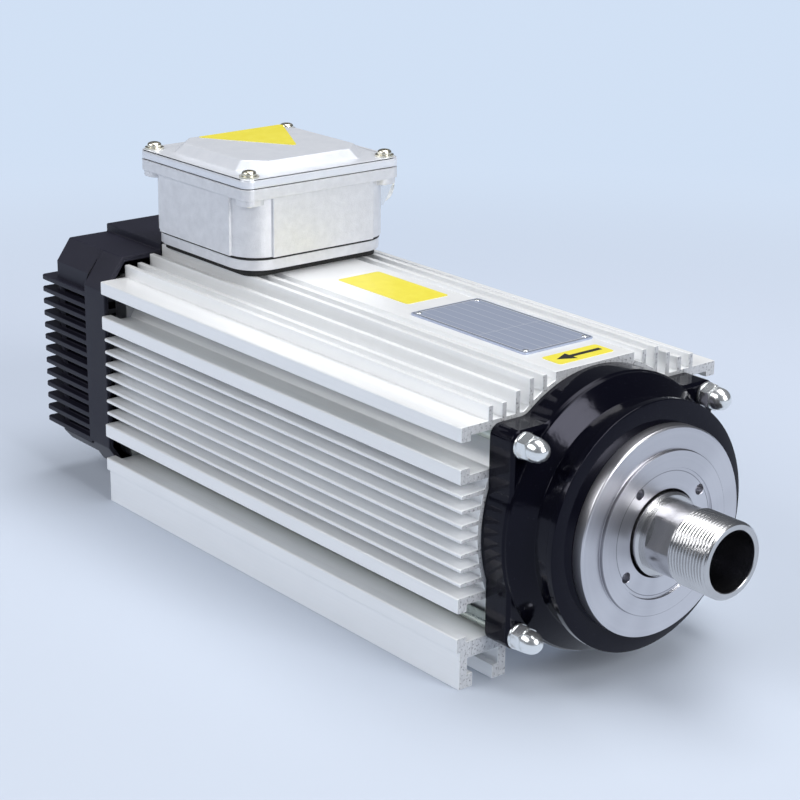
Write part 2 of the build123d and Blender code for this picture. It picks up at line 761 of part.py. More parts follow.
base_plate_z = strip_z + base_gasket_thickness
box_gasket_z = base_plate_z + base_plate_thickness
box_z = box_gasket_z + box_gasket_thickness
box_flange_z = box_z + box_height
lid_seal_z = box_flange_z + box_flange_thickness
cavity_half = box_half - box_wall
cavity_round = box_round - box_wall


def wire_hole():
    """The opening that the motor's leads come up through."""
    with Locations((0, wire_hole_y)):
        Rectangle(wire_hole_length, wire_hole_width, mode=Mode.SUBTRACT)


with BuildPart() as base_gasket:
    with BuildSketch(level_plane(strip_z, box_x)):
        RectangleRounded(2 * base_gasket_half, 2 * base_gasket_half, base_plate_round)
        wire_hole()
    extrude(amount=base_gasket_thickness)

finish(base_gasket, "base_gasket")

with BuildPart() as box_base_plate:
    with BuildSketch(level_plane(base_plate_z, box_x)):
        RectangleRounded(2 * base_plate_half, 2 * base_plate_half, base_plate_round)
        wire_hole()
    extrude(amount=base_plate_thickness)

finish(box_base_plate, "box_base_plate")

with BuildPart() as box_gasket:
    with BuildSketch(level_plane(box_gasket_z, box_x)):
        RectangleRounded(2 * box_gasket_half, 2 * box_gasket_half, base_plate_round)
        wire_hole()
    extrude(amount=box_gasket_thickness)

finish(box_gasket, "box_gasket")

with BuildPart() as terminal_box:
    with BuildSketch(level_plane(box_z, box_x)):
        RectangleRounded(2 * box_half, 2 * box_half, box_round)
        Rectangle(2 * panel_half, 2 * panel_half_width)
        Rectangle(2 * panel_half_width, 2 * panel_half)
    extrude(amount=box_height)
    with BuildSketch(level_plane(box_flange_z - box_ear_height, box_x)):
        ear_centre = box_ear_half - box_ear_size / 2
        with GridLocations(2 * ear_centre, 2 * ear_centre, 2, 2):
            RectangleRounded(box_ear_size, box_ear_size, box_flange_round)
    extrude(amount=box_ear_height)
    with BuildSketch(level_plane(box_flange_z, box_x)):
        RectangleRounded(2 * box_flange_half, 2 * box_flange_half, box_flange_round)
    extrude(amount=box_flange_thickness)
    with BuildSketch(level_plane(box_z + box_floor, box_x)):
        RectangleRounded(2 * cavity_half, 2 * cavity_half, cavity_round)
    extrude(amount=lid_seal_z - box_z - box_floor, mode=Mode.SUBTRACT)
    with BuildSketch(level_plane(box_z, box_x)):
        with Locations((0, wire_hole_y)):
            Rectangle(wire_hole_length, wire_hole_width)
    extrude(amount=box_floor, mode=Mode.SUBTRACT)
    with BuildSketch(Plane(origin=(box_x, cavity_half, box_z + gland_height), z_dir=(0, 1, 0))):
        Circle(gland_radius + gland_clearance)
    extrude(amount=panel_half, mode=Mode.SUBTRACT)

finish(terminal_box, "terminal_box")

# ---- Lid: seal, plate with a raised eight-sided top, four screws on washers ----
lid_seal_thickness = 0.8
lid_seal_inset = 1.5
lid_plate_thickness = 4.0
lid_edge_chamfer = 0.8
plateau_half = 37.0
plateau_cut = 12.0
plateau_height = 4.5
lid_cavity_half = 33.0
lid_cavity_depth = 5.5
lid_washer_radius = 4.5
lid_washer_thickness = 0.8
lid_screw_head_radius = 3.9
lid_screw_head_height = 2.6
lid_screw_head_chamfer = 0.9

lid_z = lid_seal_z + lid_seal_thickness
lid_plate_top = lid_z + lid_plate_thickness
seal_half = box_flange_half - lid_seal_inset

with BuildPart() as lid_seal:
    with BuildSketch(level_plane(lid_seal_z, box_x)):
        RectangleRounded(2 * seal_half, 2 * seal_half, box_flange_round)
        RectangleRounded(2 * cavity_half, 2 * cavity_half, cavity_round, mode=Mode.SUBTRACT)
    extrude(amount=lid_seal_thickness)

finish(lid_seal, "lid_seal")

with BuildPart() as box_lid:
    with BuildSketch(level_plane(lid_z, box_x)):
        RectangleRounded(2 * box_flange_half, 2 * box_flange_half, box_flange_round)
    extrude(amount=lid_plate_thickness)
    chamfer(box_lid.faces().sort_by(Axis.Z)[-1].edges(), lid_edge_chamfer)
    with BuildSketch(level_plane(lid_plate_top, box_x)) as plateau:
        Rectangle(2 * plateau_half, 2 * plateau_half)
        chamfer(plateau.vertices(), plateau_cut)
    extrude(amount=plateau_height, taper=45)
    with BuildSketch(level_plane(lid_z, box_x)) as lid_cavity:
        Rectangle(2 * lid_cavity_half, 2 * lid_cavity_half)
        chamfer(lid_cavity.vertices(), plateau_cut)
    extrude(amount=lid_cavity_depth, mode=Mode.SUBTRACT)

finish(box_lid, "box_lid")

with BuildPart() as lid_screws:
    with BuildSketch(level_plane(lid_plate_top, box_x)):
        with GridLocations(2 * lid_screw_half, 2 * lid_screw_half, 2, 2):
            Circle(lid_washer_radius)
    extrude(amount=lid_washer_thickness)
    with BuildSketch(level_plane(lid_plate_top + lid_washer_thickness, box_x)):
        with GridLocations(2 * lid_screw_half, 2 * lid_screw_half, 2, 2):
            Circle(lid_screw_head_radius)
    extrude(amount=lid_screw_head_height)
    chamfer(lid_screws.faces().group_by(Axis.Z)[-1].edges(), lid_screw_head_chamfer)

finish(lid_screws, "lid_screws")

# ---- Terminal board with its six hexagonal terminals ----
board_length = 58.0
board_width = 25.0
board_thickness = 7.0
board_y = 16.5
terminal_pitch_x = 19.0
terminal_pitch_y = 13.0
terminal_height = 10.0       # above the board
terminal_flats = 7.0

board_z = box_z + box_floor
board_top = board_z + board_thickness

with BuildPart() as terminal_board:
    with BuildSketch(level_plane(board_z, box_x)):
        with Locations((0, board_y)):
            Rectangle(board_length, board_width)
    extrude(amount=board_thickness)

finish(terminal_board, "terminal_board")

with BuildPart() as terminals:
    with BuildSketch(level_plane(board_top, box_x)):
        with Locations((0, board_y)):
            with GridLocations(terminal_pitch_x, terminal_pitch_y, 3, 2):
                RegularPolygon(terminal_flats / 2, 6, major_radius=False)
    extrude(amount=terminal_height)

finish(terminals, "terminals")

# ---- Cable gland on the far side of the box: body and lock nut, rubber seal, clamping nut ----
gland_flats = 24.0
gland_hex_thickness = 5.0
gland_bore_radius = 7.5
gland_thread_reach = 14.0    # threaded tube beyond the hexagon
lock_ring_thickness = 4.5
gland_seal_bore = 5.0
gland_seal_length = 8.0
gland_nut_flats = 24.0
gland_nut_reach = 19.0       # end of the nut, beyond the hexagon
gland_nut_opening = 6.5
gland_nut_chamfer_depth = 3.0
gland_nut_chamfer_angle = 40.0
gland_nut_gap = 1.0          # between the nut and the hexagon behind it

gland_z = box_z + gland_height
gland_hex_end = panel_half + gland_hex_thickness
gland_tube_end = gland_hex_end + gland_thread_reach
gland_end = gland_hex_end + gland_nut_reach


def gland_plane(reach):
    """The plane facing +Y at a reach from the box's centre, centred on the cable gland."""
    return Plane(origin=(box_x, reach, gland_z), x_dir=(-1, 0, 0), z_dir=(0, 1, 0))


with BuildPart() as gland_body:
    with BuildSketch(gland_plane(panel_half)):
        RegularPolygon(gland_flats / 2, 6, major_radius=False)
    extrude(amount=gland_hex_thickness)
    with BuildSketch(gland_plane(cavity_half - lock_ring_thickness)):
        RegularPolygon(gland_flats / 2, 6, major_radius=False)
    extrude(amount=lock_ring_thickness)
    with BuildSketch(gland_plane(cavity_half - lock_ring_thickness)):
        Circle(gland_radius)
    extrude(amount=gland_tube_end - cavity_half + lock_ring_thickness)
    with BuildSketch(gland_plane(cavity_half - lock_ring_thickness)):
        Circle(gland_bore_radius)
    extrude(amount=gland_tube_end - cavity_half + lock_ring_thickness, mode=Mode.SUBTRACT)

finish(gland_body, "gland_body")

with BuildPart() as gland_seal:
    with BuildSketch(gland_plane(gland_tube_end)):
        Circle(gland_bore_radius - fit_clearance)
        Circle(gland_seal_bore, mode=Mode.SUBTRACT)
    extrude(amount=-gland_seal_length)

finish(gland_seal, "gland_seal")

with BuildPart() as gland_nut:
    with BuildSketch(gland_plane(gland_hex_end + gland_nut_gap)):
        RegularPolygon(gland_nut_flats / 2, 6, major_radius=False)
    extrude(amount=gland_nut_reach - gland_nut_gap)
    with BuildSketch(gland_plane(gland_end)):
        Circle(gland_nut_flats)
        Circle(gland_nut_flats / 2, mode=Mode.SUBTRACT)
    extrude(amount=-gland_nut_chamfer_depth, taper=-gland_nut_chamfer_angle, mode=Mode.SUBTRACT)
    with BuildSketch(gland_plane(gland_hex_end + gland_nut_gap)):
        Circle(gland_radius + fit_clearance)
    extrude(amount=gland_tube_end - gland_hex_end, mode=Mode.SUBTRACT)
    with BuildSketch(gland_plane(gland_end)):
        Circle(gland_nut_opening)
    extrude(amount=-gland_nut_reach, mode=Mode.SUBTRACT)

finish(gland_nut, "gland_nut")

# ---- Nameplate on the top strip ----
nameplate_start = 23.2       # behind the housing's front
nameplate_length = 73.8
nameplate_width = 39.2
nameplate_thickness = 0.8
nameplate_y = 2.2
nameplate_round = 2.0

nameplate_x = front_x - nameplate_start - nameplate_length / 2

with BuildPart() as nameplate:
    with BuildSketch(level_plane(strip_z, nameplate_x)):
        with Locations((0, nameplate_y)):
            RectangleRounded(nameplate_length, nameplate_width, nameplate_round)
    extrude(amount=nameplate_thickness)

finish(nameplate, "nameplate")
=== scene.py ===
from math import ceil, cos, pi, radians, sin, tan

import bmesh
import bpy
from mathutils import Matrix, Vector


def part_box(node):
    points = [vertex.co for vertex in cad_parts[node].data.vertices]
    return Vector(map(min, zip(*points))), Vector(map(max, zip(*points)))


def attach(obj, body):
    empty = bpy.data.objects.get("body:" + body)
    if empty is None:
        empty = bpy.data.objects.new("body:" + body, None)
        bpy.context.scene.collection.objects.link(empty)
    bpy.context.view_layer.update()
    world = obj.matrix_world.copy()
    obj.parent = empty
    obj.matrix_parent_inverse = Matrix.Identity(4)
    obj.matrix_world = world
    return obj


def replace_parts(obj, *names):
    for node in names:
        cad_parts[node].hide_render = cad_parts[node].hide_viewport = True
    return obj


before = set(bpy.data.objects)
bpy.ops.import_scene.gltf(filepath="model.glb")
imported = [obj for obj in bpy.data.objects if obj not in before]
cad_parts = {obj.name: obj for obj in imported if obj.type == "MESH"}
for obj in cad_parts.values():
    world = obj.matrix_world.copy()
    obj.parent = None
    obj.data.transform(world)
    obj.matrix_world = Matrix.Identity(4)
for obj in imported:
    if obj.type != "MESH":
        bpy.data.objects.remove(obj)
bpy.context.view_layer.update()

# ---- Camera ----
# A short telephoto lens looks down on the nose from the front right. The view is aimed at the
# middle of the housing, a little above the spindle axis.
view_azimuth = radians(50.58)
view_elevation = radians(18.71)
view_roll = radians(0.68)
view_target = Vector((-0.00167, 0.0, 0.0755))
view_distance = 0.9402
lens_length = 93.4
sensor_width = 36.0
far_clip = 200.0

back = Vector((
    sin(view_azimuth) * cos(view_elevation),
    -cos(view_azimuth) * cos(view_elevation),
    sin(view_elevation),
))
level_right = (-back).cross(Vector((0, 0, 1))).normalized()
level_up = level_right.cross(-back)
right = level_right * cos(view_roll) + level_up * sin(view_roll)
up = level_up * cos(view_roll) - level_right * sin(view_roll)

camera_data = bpy.data.cameras.new("camera")
camera_data.lens = lens_length
camera_data.sensor_width = sensor_width
camera_data.clip_end = far_clip
camera = bpy.data.objects.new("camera", camera_data)
bpy.context.scene.collection.objects.link(camera)
turn = Matrix((right, up, back)).transposed().to_4x4()
camera.matrix_world = Matrix.Translation(view_target + back * view_distance) @ turn
bpy.context.scene.camera = camera
bpy.context.scene.view_settings.view_transform = "Standard"

# ---- Room ----
# A seamless sheet of pale blue paper under soft lamps. The camera and shiny surfaces see its
# plain colour, and near the machine a share of lamplight in it keeps the shadow.
near_paper = (0.640, 0.705, 0.815)
middle_paper = (0.680, 0.755, 0.890)
far_paper = (0.640, 0.750, 0.910)
paper_half = 40.0
lit_share = 0.92
lit_reach = 0.40
glow_reach = 0.85
lamplight_trim = 0.2
lamps = (
    ("key", (-0.55, -1.5, 1.25), (1.5, 0.9), 20.0),
    ("nose", (1.8, 0.15, 1.05), (0.9, 1.1), 27.0),
    ("top", (0.1, 0.35, 1.9), (1.9, 1.1), 30.0),
)
nearest_paper = -0.2
middle_distance = 0.30
farthest_paper = 0.95
lamp_target = (0, 0, 0.08)
world_color = (0.80, 0.87, 1.0, 1.0)
world_strength = 0.13
mix_inputs = (0, 6, 7)       # of a Mix node set to colours: its factor and its two colours
mix_output = 2


class Socket:
    """A shader socket that takes part in sums and products, each adding its Math node."""

    def __init__(self, tree, socket):
        self.tree = tree
        self.socket = socket

    def join(self, operation, first, second=0.0):
        """The outcome of a Math node fed by one or two values."""
        node = self.tree.nodes.new("ShaderNodeMath")
        node.operation = operation
        for place, value in enumerate((first, second)):
            if isinstance(value, Socket):
                self.tree.links.new(value.socket, node.inputs[place])
            else:
                node.inputs[place].default_value = value
        return Socket(self.tree, node.outputs[0])

    def __add__(self, other):
        return self.join("ADD", self, other)

    __radd__ = __add__

    def __sub__(self, other):
        return self.join("SUBTRACT", self, other)

    def __rsub__(self, other):
        return self.join("SUBTRACT", other, self)

    def __mul__(self, other):
        return self.join("MULTIPLY", self, other)

    __rmul__ = __mul__

    def __truediv__(self, other):
        return self.join("DIVIDE", self, other)

    def __gt__(self, other):
        return self.join("GREATER_THAN", self, other)

    def __lt__(self, other):
        return self.join("LESS_THAN", self, other)

    def __abs__(self):
        return self.join("ABSOLUTE", self)

    def wave(self):
        """Its sine."""
        return self.join("SINE", self)

    def fraction(self):
        """What stands behind its decimal point."""
        return self.join("FRACT", self)

    def larger(self, other):
        """The larger of two values."""
        return self.join("MAXIMUM", self, other)

    def held(self):
        """The value kept between 0 and 1."""
        return self.join("MINIMUM", self.larger(0.0), 1.0)

    def eased(self):
        """The value kept between 0 and 1, leaving both slowly."""
        kept = self.held()
        return kept * kept * (3 - 2 * kept)


class Finish:
    """A material whose nodes are all made by one method."""

    def __init__(self, name, color, **constants):
        self.material = bpy.data.materials.new(name)
        self.material.use_nodes = True
        self.tree = self.material.node_tree
        self.shader = self.tree.nodes["Principled BSDF"]
        self.shader.inputs["Base Color"].default_value = (*color, 1.0)
        for word, value in constants.items():
            self.shader.inputs[word.replace("_", " ").title()].default_value = value
        self.place = self.node("ShaderNodeTexCoord", output="Object")

    def node(self, kind, settings=None, inputs=None, output=0):
        """Add a node, set it, feed it, and give one of its outputs."""
        made = self.tree.nodes.new(kind)
        for word, value in (settings or {}).items():
            setattr(made, word, value)
        for word, value in (inputs or {}).items():
            if isinstance(value, Socket):
                self.tree.links.new(value.socket, made.inputs[word])
            else:
                made.inputs[word].default_value = value
        return Socket(self.tree, made.outputs[output])

    def stretched(self, scale, centre=(0, 0, 0)):
        """Object coordinates counted from a centre and scaled along each axis."""
        shift = tuple(-c * s for c, s in zip(centre, scale))
        facts = {"Vector": self.place, "Scale": scale, "Location": shift}
        return self.node("ShaderNodeMapping", None, facts)

    def noise(self, vector, scale, detail=3.0, roughness=0.55):
        """A cloudy value between 0 and 1."""
        facts = {"Vector": vector, "Scale": scale, "Detail": detail, "Roughness": roughness}
        return self.node("ShaderNodeTexNoise", None, facts, "Fac")

    def off_axis(self, operation, output=0):
        """A vector operation on the arm from the spindle axis to the place."""
        arm = self.stretched((0, 1, 1), (0, 0, axis_height))
        return self.node("ShaderNodeVectorMath", {"operation": operation}, {0: arm}, output)

    def line(self, value):
        """The value as a place along a line."""
        return self.node("ShaderNodeCombineXYZ", None, {"X": value})

    def axis(self, word):
        """One coordinate of the place."""
        return self.node("ShaderNodeSeparateXYZ", None, {"Vector": self.place}, word)

    def facing(self, word):
        """One part of the surface normal."""
        normal = self.node("ShaderNodeNewGeometry", output="Normal")
        return self.node("ShaderNodeSeparateXYZ", None, {"Vector": normal}, word)

    def blend(self, factor, first, second):
        """A colour between two, each a socket or three numbers."""
        made = self.tree.nodes.new("ShaderNodeMix")
        made.data_type = "RGBA"
        for place, value in zip(mix_inputs, (factor, first, second)):
            if isinstance(value, Socket):
                self.tree.links.new(value.socket, made.inputs[place])
            else:
                made.inputs[place].default_value = value if value is factor else (*value, 1.0)
        return Socket(self.tree, made.outputs[mix_output])

    def bump(self, height, distance, strength=1.0):
        """Raise the surface by a height between 0 and 1 times the distance, in metres."""
        facts = {"Height": height, "Distance": distance, "Strength": strength}
        self.feed("Normal", self.node("ShaderNodeBump", None, facts))

    def feed(self, word, value):
        """Link a value or colour to the surface shader."""
        self.tree.links.new(value.socket, self.shader.inputs[word])

    def wear(self, *names):
        """Give this finish to solids of the frame."""
        for name in names:
            paint(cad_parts[name], self)


corners = [(x * paper_half, y * paper_half, 0) for x, y in ((-1, -1), (1, -1), (1, 1), (-1, 1))]
paper_sheet = bpy.data.meshes.new("paper")
paper_sheet.from_pydata(corners, [], [(0, 1, 2, 3)])
floor = bpy.data.objects.new("floor", paper_sheet)
bpy.context.scene.collection.objects.link(floor)
paper = Finish("blue paper", near_paper, roughness=0.9)
paper.shader.inputs["Specular IOR Level"].default_value = 0.0
far_along = paper.axis("X") * -sin(view_azimuth) + paper.axis("Y") * cos(view_azimuth)
near_to_middle = ((far_along - nearest_paper) / (middle_distance - nearest_paper)).eased()
middle_to_far = ((far_along - middle_distance) / (farthest_paper - middle_distance)).eased()
tone = paper.blend(near_to_middle, near_paper, middle_paper)
tone = paper.blend(middle_to_far, tone, far_paper)
paper.feed("Base Color", paper.blend(lamplight_trim, tone, (0, 0, 0)))
ray = paper.tree.nodes.new("ShaderNodeLightPath")
seen = Socket(paper.tree, ray.outputs["Is Camera Ray"])
glossy = Socket(paper.tree, ray.outputs["Is Glossy Ray"])
through = Socket(paper.tree, ray.outputs["Is Transmission Ray"])
glow = paper.node("ShaderNodeEmission", None, {"Color": tone, "Strength": 1.0})
from_middle = paper.node("ShaderNodeVectorMath", {"operation": "LENGTH"}, {0: paper.place}, "Value")
unlit = 1 - lit_share + ((from_middle - lit_reach) / (glow_reach - lit_reach)).eased() * lit_share
share = (seen * unlit + glossy + through).held()
mixed = paper.tree.nodes.new("ShaderNodeMixShader")
paper.tree.links.new(share.socket, mixed.inputs[0])
paper.tree.links.new(paper.shader.outputs[0], mixed.inputs[1])
paper.tree.links.new(glow.socket, mixed.inputs[2])
paper.tree.links.new(mixed.outputs[0], paper.tree.nodes["Material Output"].inputs["Surface"])
floor.data.materials.append(paper.material)

for name, place, size, power in lamps:
    lamp_data = bpy.data.lights.new(name, "AREA")
    lamp_data.shape = "RECTANGLE"
    lamp_data.size, lamp_data.size_y = size
    lamp_data.energy = power
    lamp = bpy.data.objects.new(name, lamp_data)
    bpy.context.scene.collection.objects.link(lamp)
    aim = Vector(lamp_target) - Vector(place)
    towards = aim.to_track_quat("-Z", "Y").to_matrix().to_4x4()
    lamp.matrix_world = Matrix.Translation(place) @ towards

world = bpy.data.worlds.new("room")
bpy.context.scene.world = world
world.use_nodes = True
background = world.node_tree.nodes["Background"]
background.inputs["Color"].default_value = world_color
background.inputs["Strength"].default_value = world_strength

# ---- Housing extrusion ----
# The motor's tube, fins, side lips and T-slot rails are one length of extruded aluminium. Its
# satin anodised skin shows the fine lines of the die, and its ends are sawn.
housing_edge = 0.00035
die_line_pitch = 0.0009
saw_mark_pitch = 0.0011
bevel_segments = 2
bevel_angle = radians(30)    # edges sharper than this are rounded
flat_angle = radians(0.6)    # faces that turn less than this count as one
same_corner = 2e-6


def paint(piece, finish):
    """Give a piece one finish all over."""
    piece.data.materials.clear()
    piece.data.materials.append(finish.material)


def add(name, mesh, finish, body="motor"):
    """Link a new piece that rides on a body and takes its finish from a slot."""
    piece = bpy.data.objects.new(name, mesh)
    bpy.context.scene.collection.objects.link(piece)
    paint(piece, finish)
    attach(piece, body)
    return piece


def settled(piece):
    """Turn a piece and its modifiers into a plain mesh."""
    bpy.context.view_layer.update()
    graph = bpy.context.evaluated_depsgraph_get()
    mesh = bpy.data.meshes.new_from_object(piece.evaluated_get(graph), depsgraph=graph)
    piece.modifiers.clear()
    piece.data = mesh
    return mesh


def rounded(name, shape, width):
    """A mesh of a shape with its sharp edges rounded off."""
    mesh = bpy.data.meshes.new(name)
    shape.to_mesh(mesh)
    shape.free()
    for face in mesh.polygons:
        face.use_smooth = True
    piece = bpy.data.objects.new(name, mesh)
    bpy.context.scene.collection.objects.link(piece)
    edge = piece.modifiers.new("edge", "BEVEL")
    edge.width = width
    edge.segments = bevel_segments
    edge.limit_method = "ANGLE"
    edge.angle_limit = bevel_angle
    edge.use_clamp_overlap = False
    even = piece.modifiers.new("even", "WEIGHTED_NORMAL")
    even.keep_sharp = False
    mesh = settled(piece)
    bpy.data.objects.remove(piece)
    return mesh


def softened(name, finish, width, trim=None, flat=True):
    """Stand a copy with rounded edges in for a solid.

    A trim is a rule that moves its corners first. A piece with faces that run round an opening
    isn't flat, as joining its level faces would close the opening.
    """
    shape = bmesh.new()
    shape.from_mesh(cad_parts[name].data)
    bmesh.ops.remove_doubles(shape, verts=shape.verts, dist=same_corner)
    if flat:
        bmesh.ops.dissolve_limit(
            shape, angle_limit=flat_angle, verts=shape.verts, edges=shape.edges
        )
    if trim:
        for corner in shape.verts:
            trim(corner.co)
    stand_in(name, rounded(name + "_finished", shape, width), finish)


def stand_in(name, mesh, finish):
    """Show a mesh in the place of a solid of the motor."""
    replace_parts(add(name + "_finished", mesh, finish), name)


shaft_low, shaft_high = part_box("spindle_shaft")
axis_height = (shaft_low.z + shaft_high.z) / 2
die_lines_per_metre = 1 / die_line_pitch
saw_marks_per_metre = 1 / saw_mark_pitch

aluminium = Finish("extruded aluminium", (0.86, 0.87, 0.88), metallic=0.35, roughness=0.34)
along_die = aluminium.stretched((2.0, die_lines_per_metre, die_lines_per_metre))
die_lines = aluminium.noise(along_die, 1.0, 2.0)
cloud = aluminium.noise(aluminium.stretched((30.0, 90.0, 90.0)), 1.0, 4.0)
saw_cut = abs(aluminium.facing("X")) > 0.9
along_saw = aluminium.stretched((1, saw_marks_per_metre, 0.35 * saw_marks_per_metre))
saw_marks = aluminium.noise(along_saw, 1.0, 4.0)
pits = (aluminium.noise(aluminium.stretched((1, 900.0, 900.0)), 1.0, 3.0) - 0.56) * 9.0
aluminium.feed("Roughness", 0.27 + die_lines * 0.12 + cloud * 0.08 + saw_cut * 0.14)
bright = aluminium.blend(cloud * 0.6 + die_lines * 0.4, (0.84, 0.855, 0.87), (0.96, 0.965, 0.97))
cut_tone = aluminium.blend(saw_marks, (0.40, 0.41, 0.43), (0.74, 0.75, 0.77))
cut_tone = aluminium.blend(pits.held() * 0.8, cut_tone, (0.14, 0.14, 0.16))
aluminium.feed("Base Color", aluminium.blend(saw_cut, bright, cut_tone))
aluminium.bump(die_lines * (1 - saw_cut) + saw_marks * saw_cut * 2.2, 0.00006, 0.8)
softened("housing_extrusion", aluminium, housing_edge)

# ---- Stator and rotor ----
# Stacks of thin stamped sheets with varnished copper end turns and a cast rotor cage. They sit
# inside the tube and are seen only with the housing taken apart.
sheet_pitch = 0.0005
strand_pitch = 0.0012

laminations = Finish("stamped sheet stack", (0.25, 0.25, 0.26), metallic=0.8, roughness=0.5)
sheet_edges = (laminations.axis("X") * (2 * pi / sheet_pitch)).wave()
laminations.feed("Roughness", 0.45 + sheet_edges * 0.06)
laminations.bump(sheet_edges, 0.00003)
laminations.wear("stator_core", "rotor_core")

copper = Finish("varnished copper", (0.42, 0.15, 0.05), metallic=0.5, roughness=0.3)
strands = copper.noise(copper.stretched((1 / strand_pitch, 60, 60)), 1.0, 2.0)
copper.feed("Base Color", copper.blend(strands, (0.25, 0.08, 0.03), (0.6, 0.24, 0.09)))
copper.bump(strands, 0.0003)
copper.wear("stator_windings")

cast = Finish("bare cast aluminium", (0.62, 0.62, 0.63), metallic=0.8, roughness=0.5)
cast_grain = cast.noise(cast.place, 900.0, 3.0)
cast.feed("Roughness", 0.4 + cast_grain * 0.25)
cast.bump(cast_grain, 0.0001)
cast.wear("rotor_end_rings", "rear_bracket")

# ---- Bearings, spacers and lock nut ----
# Ground and hardened steel rings, sealed with black rubber lips, clamped on the shaft by a slotted
# nut. All of them are hidden behind the front disc and the rear bracket.
bearing_steel = Finish("ground bearing steel", (0.62, 0.62, 0.63), metallic=1.0, roughness=0.16)
grind = bearing_steel.noise(bearing_steel.stretched((4000, 30, 30)), 1.0, 2.0)
bearing_steel.feed("Roughness", 0.1 + grind * 0.14)
bearing_steel.wear(
    "front_bearing_outer_rings",
    "front_bearing_inner_rings",
    "rear_bearing_outer_ring",
    "rear_bearing_inner_ring",
    "inner_spacer",
    "outer_spacer",
)

dark_steel = Finish("blackened steel", (0.12, 0.12, 0.13), metallic=0.9, roughness=0.4)
oil_film = dark_steel.noise(dark_steel.place, 120.0, 4.0)
dark_steel.feed("Roughness", 0.25 + oil_film * 0.3)
dark_steel.wear("bearing_lock_nut", "wave_spring", "fan_circlip")

# ---- Front flange ----
# A casting with four ears, turned on its cone and rim and then painted gloss black. The paint is
# thick, with a faint orange-peel skin and rounded edges.
flange_edge = 0.0003
peel_size = 0.0045

gloss_black = Finish("gloss black paint", (0.003, 0.003, 0.007), roughness=0.11)
gloss_black.shader.inputs["Specular IOR Level"].default_value = 0.2
gloss_black.shader.inputs["Specular Tint"].default_value = (0.80, 0.80, 1.0, 1.0)
peel = gloss_black.noise(gloss_black.place, 1 / peel_size, 2.0)
dust = ((gloss_black.noise(gloss_black.place, 2600.0, 1.0) - 0.74) * 12.0).held()
gloss_black.feed("Roughness", 0.08 + peel * 0.07 + dust * 0.2)
gloss_black.feed("Base Color", gloss_black.blend(dust, (0.002, 0.002, 0.005), (0.05, 0.05, 0.07)))
gloss_black.bump(peel, 0.00016, 0.35)
softened("front_flange", gloss_black, flange_edge)

# ---- Bearing cap ----
# A steel disc faced on the lathe, so its front carries fine rings round the spindle. Four blind
# holes take the pins of the spanner that screws it in.
ring_pitch = 0.00022
inner_ring = 0.0260
outer_ring = 0.0345
step_shade_width = 0.00018
cap_edge = 0.00025

turned_steel = Finish("turned steel", (0.66, 0.66, 0.68), metallic=1.0, roughness=0.3)
from_axis = turned_steel.off_axis("LENGTH", "Value")
rings = turned_steel.noise(turned_steel.line(from_axis * (1 / ring_pitch)), 1.0, 3.0, 0.6)
broad_rings = turned_steel.noise(turned_steel.line(from_axis * (0.12 / ring_pitch)), 1.0, 2.0)
turned_steel.feed("Roughness", 0.2 + rings * 0.12 + broad_rings * 0.1)
# Painted highlight: radial fans of sheen, lighter by the angle round the axis, painted into the
# base colour.
fan_highlight_streaks = turned_steel.noise(turned_steel.off_axis("NORMALIZE"), 1.6, 1.0)
painted_sheen = ((fan_highlight_streaks - 0.35) * 3.0).eased()
zones_and_painted_sheen = turned_steel.blend(broad_rings, (0.56, 0.56, 0.60), (0.66, 0.66, 0.70))
zones_and_painted_sheen = turned_steel.blend(painted_sheen * 0.4, zones_and_painted_sheen, (0.84, 0.84, 0.88))
# Painted shade: thin dark lines in the base colour at the radii of the face's two steps.
painted_step_shade = (abs(from_axis - inner_ring) < step_shade_width) + (abs(from_axis - outer_ring) < step_shade_width)
cap_tone_with_painted_light = turned_steel.blend(painted_step_shade.held() * 0.6, zones_and_painted_sheen, (0.10, 0.10, 0.12))
turned_steel.feed("Base Color", cap_tone_with_painted_light)
turned_steel.bump(rings, 0.00004, 1.0)
softened("bearing_cap", turned_steel, cap_edge)

# ---- Spindle shaft ----
# Ground steel, turned in one piece. The nose carries a cut thread for the collet nut and a tapered
# mouth for the collet, with two spanner flats on the neck behind it.
thread_pitch = 0.0015
thread_depth = 0.0009
thread_slope = 1.3           # of its flanks, against a plain wave of the same depth
thread_crest = 0.15          # of the depth, cut off its crests
thread_length = 0.0198
nose_radius = 0.016
nose_chamfer = 0.001
neck_radius = 0.015
flats_half_width = 0.0135
flats_length = 0.012
flats_gap = 0.0003
flats_angle = radians(158)
thread_to_collar = 0.0143
mouth_radius = 0.0127
mouth_chamfer = 0.0003
taper_depth = 0.024
taper_end_radius = 0.00933
relief_radius = 0.008
relief_depth = 0.040
drill_point_length = 0.0048
collar_radius = 0.0176
collar_length = 0.0162
fan_seat_radius = 0.009
fan_seat_end = 0.023         # ahead of the shaft's rear end, like the next
rear_seat_radius = 0.0125
rear_seat_end = 0.051
rotor_seat_radius = 0.0145
front_seat_length = 0.050
rows_per_pitch = 12
round_steps = 128
edge_step = 0.00002
bore_margin = 0.0002

nose_x = shaft_high.x
thread_start_x = nose_x - thread_length
collar_x = thread_start_x - thread_to_collar
collar_back_x = collar_x - collar_length
flats_end_x = thread_start_x - flats_gap
flats_start_x = flats_end_x - flats_length


def thread_radius(x, angle):
    """The radius of the cut thread, with both ends chamfered."""
    phase = (x / thread_pitch - angle / (2 * pi)) % 1.0
    wave = (1 - abs(2 * phase - 1)) * thread_slope - thread_crest
    depth = min(1.0, max(0.0, wave)) * thread_depth
    ends = min(nose_x - x, x - thread_start_x) + nose_radius - nose_chamfer
    return min(nose_radius - depth, ends)


def neck_reach(x, angle):
    """The neck's radius, cut by the two flats."""
    across = abs(cos(angle - flats_angle))
    return flats_half_width / max(across, flats_half_width / neck_radius)


